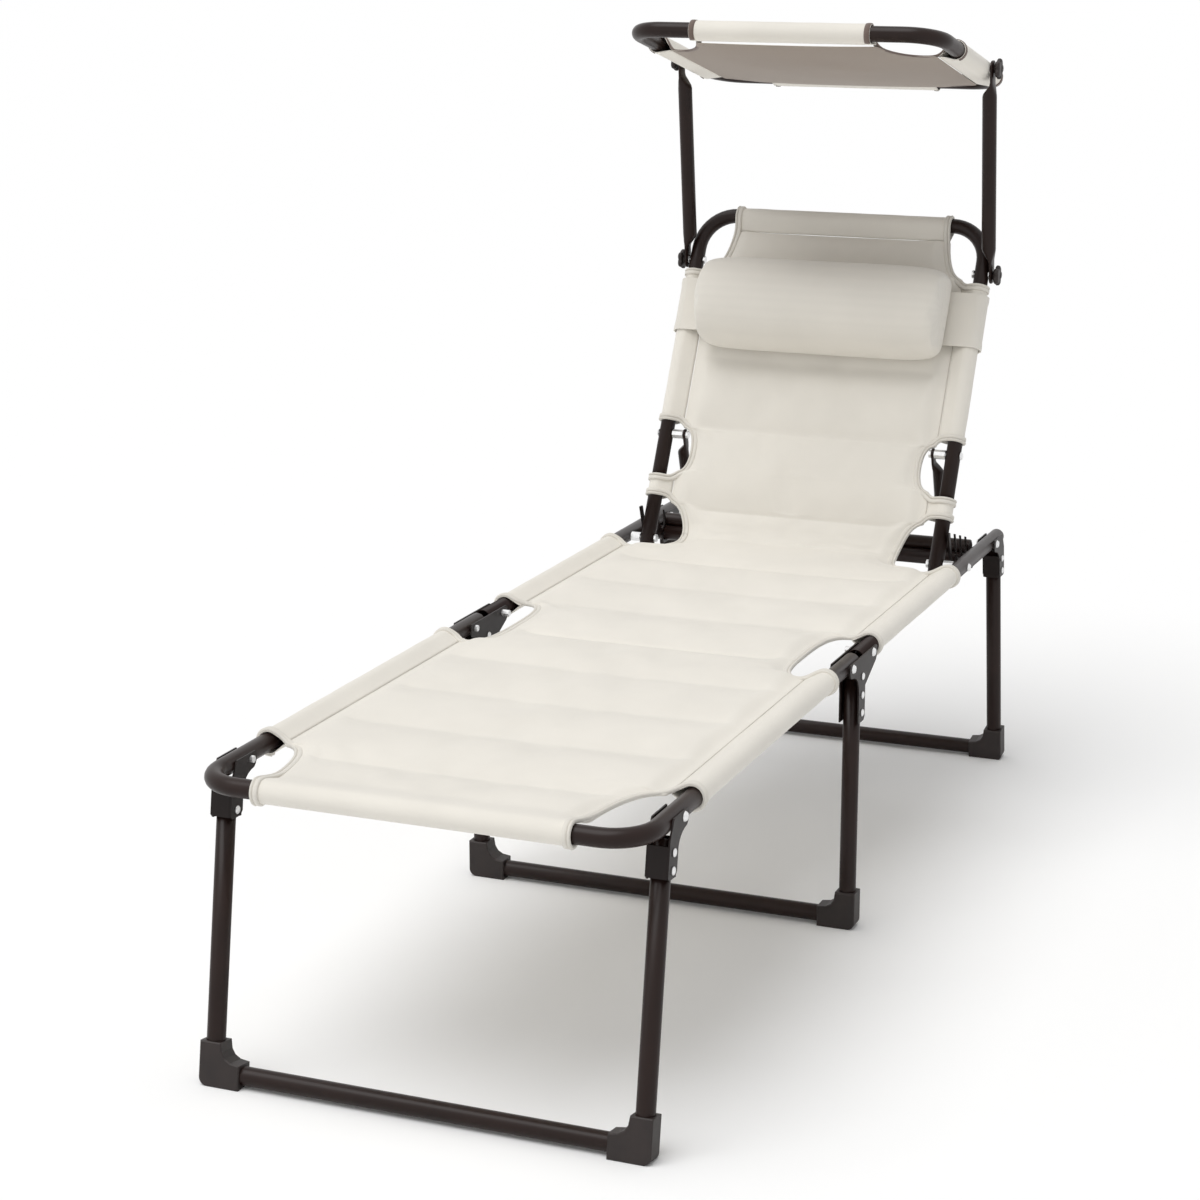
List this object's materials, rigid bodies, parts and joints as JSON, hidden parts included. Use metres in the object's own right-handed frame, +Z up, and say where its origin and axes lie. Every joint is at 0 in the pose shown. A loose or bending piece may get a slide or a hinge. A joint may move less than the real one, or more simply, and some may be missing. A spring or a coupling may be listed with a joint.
{
  "type": "sun lounger with canopy",
  "caption": "Folding padded sun lounger on tube legs, with a reclining backrest, a head roll and a tilting canopy held on two arms.",
  "frame": {"origin": "middle of the bounding box's footprint, on the ground", "axes": "+Z up, +Y towards the head end, +X to the right seen from the foot end"},
  "size_m": [0.6316, 1.8062, 1.288],
  "materials": {
    "tube_paint": "satin",
    "bracket_paint": "satin",
    "black_plastic": "matte",
    "zinc_steel": "satin",
    "sling_fabric": "matte",
    "roll_fabric": "matte",
    "shade_cloth": "matte"
  },
  "bodies": {
    "seat_frame": {"seat_frame": "tube_paint", "rack_left": "bracket_paint", "rack_right": "bracket_paint", "rail_plug_left": "black_plastic", "rail_plug_right": "black_plastic", "sling_seat": "sling_fabric", "sling_bend": "sling_fabric"},
    "rear_leg": {"rear_leg": "tube_paint", "rear_shoe_left": "black_plastic", "rear_shoe_right": "black_plastic", "rear_bracket_left": "bracket_paint", "rear_bracket_right": "bracket_paint", "rear_leg_rivet_left": "zinc_steel", "rear_leg_rivet_right": "zinc_steel"},
    "mid_leg": {"middle_leg": "tube_paint", "middle_shoe_left": "black_plastic", "middle_shoe_right": "black_plastic", "hinge_bracket_left": "bracket_paint", "hinge_bracket_right": "bracket_paint", "seat_hinge_bolt_left": "zinc_steel", "seat_hinge_bolt_right": "zinc_steel", "foot_hinge_rivet_left": "zinc_steel", "foot_hinge_rivet_right": "zinc_steel", "sling_hinge": "sling_fabric"},
    "foot_frame": {"foot_frame": "tube_paint", "sling_foot": "sling_fabric"},
    "front_leg": {"front_leg": "tube_paint", "front_shoe_left": "black_plastic", "front_shoe_right": "black_plastic", "front_bracket_left": "bracket_paint", "front_bracket_right": "bracket_paint", "front_leg_rivet_left": "zinc_steel", "front_leg_rivet_right": "zinc_steel"},
    "backrest_bolts": {"backrest_bolt_left": "zinc_steel", "backrest_bolt_right": "zinc_steel"},
    "backrest": {"backrest_frame": "tube_paint", "backrest_plug_left": "black_plastic", "backrest_plug_right": "black_plastic", "prop_bolt_left": "zinc_steel", "prop_bolt_right": "zinc_steel", "arm_bolt_left": "zinc_steel", "arm_bolt_right": "zinc_steel", "sling_back": "sling_fabric", "head_roll": "roll_fabric", "roll_strap": "roll_fabric"},
    "prop": {"prop_frame": "tube_paint", "prop_plug_left": "black_plastic", "prop_plug_right": "black_plastic"},
    "canopy_arms": {"canopy_arm_left": "tube_paint", "canopy_arm_right": "tube_paint"},
    "canopy": {"canopy_hoop": "tube_paint", "canopy_cloth": "shade_cloth", "canopy_bolt_left": "zinc_steel", "canopy_bolt_right": "zinc_steel"},
    "arm_knob_left": {"arm_knob_left": "black_plastic"},
    "arm_knob_right": {"arm_knob_right": "black_plastic"},
    "canopy_knob_left": {"canopy_knob_left": "black_plastic"},
    "canopy_knob_right": {"canopy_knob_right": "black_plastic"}
  },
  "joints": [
    {"name": "rear_leg_fold", "type": "hinge", "parent": "seat_frame", "child": "rear_leg", "pos_m": [0, 0.74091, 0.412], "axis": [-1, 0, 0], "range_deg": [0, 99]},
    {"name": "mid_leg_fold", "type": "hinge", "parent": "seat_frame", "child": "mid_leg", "pos_m": [0, 0.00991, 0.412], "axis": [-1, 0, 0], "range_deg": [0, 70], "deforming": ["sling_hinge"]},
    {"name": "foot_fold", "type": "hinge", "parent": "mid_leg", "child": "foot_frame", "pos_m": [0, -0.08909, 0.412], "axis": [-1, 0, 0], "range_deg": [0, 70], "deforming": ["sling_hinge"]},
    {"name": "front_leg_fold", "type": "hinge", "parent": "foot_frame", "child": "front_leg", "pos_m": [0, -0.77909, 0.412], "axis": [1, 0, 0], "range_deg": [0, 99]},
    {"name": "backrest_recline", "type": "hinge", "parent": "seat_frame", "child": "backrest_bolts", "pos_m": [0, 0.56191, 0.412], "axis": [-1, 0, 0], "range_deg": [0, 52], "deforming": ["sling_bend"]},
    {"name": "backrest_fold", "type": "hinge", "parent": "backrest_bolts", "child": "backrest", "pos_m": [0, 0.56191, 0.412], "axis": [-1, 0, 0], "range_deg": [-78, 0], "deforming": ["sling_bend"]},
    {"name": "prop_swing", "type": "hinge", "parent": "backrest", "child": "prop", "pos_m": [0, 0.64872, 0.57876], "axis": [1, 0, 0], "range_deg": [0, 120]},
    {"name": "canopy_swing", "type": "hinge", "parent": "backrest", "child": "canopy_arms", "pos_m": [0, 0.79602, 0.86171], "axis": [1, 0, 0], "range_deg": [-9, 60]},
    {"name": "canopy_tilt", "type": "hinge", "parent": "canopy_arms", "child": "canopy", "pos_m": [0, 0.75489, 1.20667], "axis": [1, 0, 0], "range_deg": [-35, 60]},
    {"name": "arm_knob_left_turn", "type": "hinge", "parent": "backrest", "child": "arm_knob_left", "pos_m": [-0.2812, 0.79602, 0.86171], "axis": [-1, 0, 0], "continuous": true},
    {"name": "canopy_knob_left_turn", "type": "hinge", "parent": "canopy", "child": "canopy_knob_left", "pos_m": [-0.2812, 0.75489, 1.20667], "axis": [-1, 0, 0], "continuous": true},
    {"name": "arm_knob_right_turn", "type": "hinge", "parent": "backrest", "child": "arm_knob_right", "pos_m": [0.2812, 0.79602, 0.86171], "axis": [1, 0, 0], "continuous": true},
    {"name": "canopy_knob_right_turn", "type": "hinge", "parent": "canopy", "child": "canopy_knob_right", "pos_m": [0.2812, 0.75489, 1.20667], "axis": [1, 0, 0], "continuous": true}
  ],
  "couplings": [
    {"joint": "foot_fold", "follows": "mid_leg_fold", "ratio": 1},
    {"joint": "prop_swing", "follows": "backrest_recline", "ratio": 2.3}
  ]
}
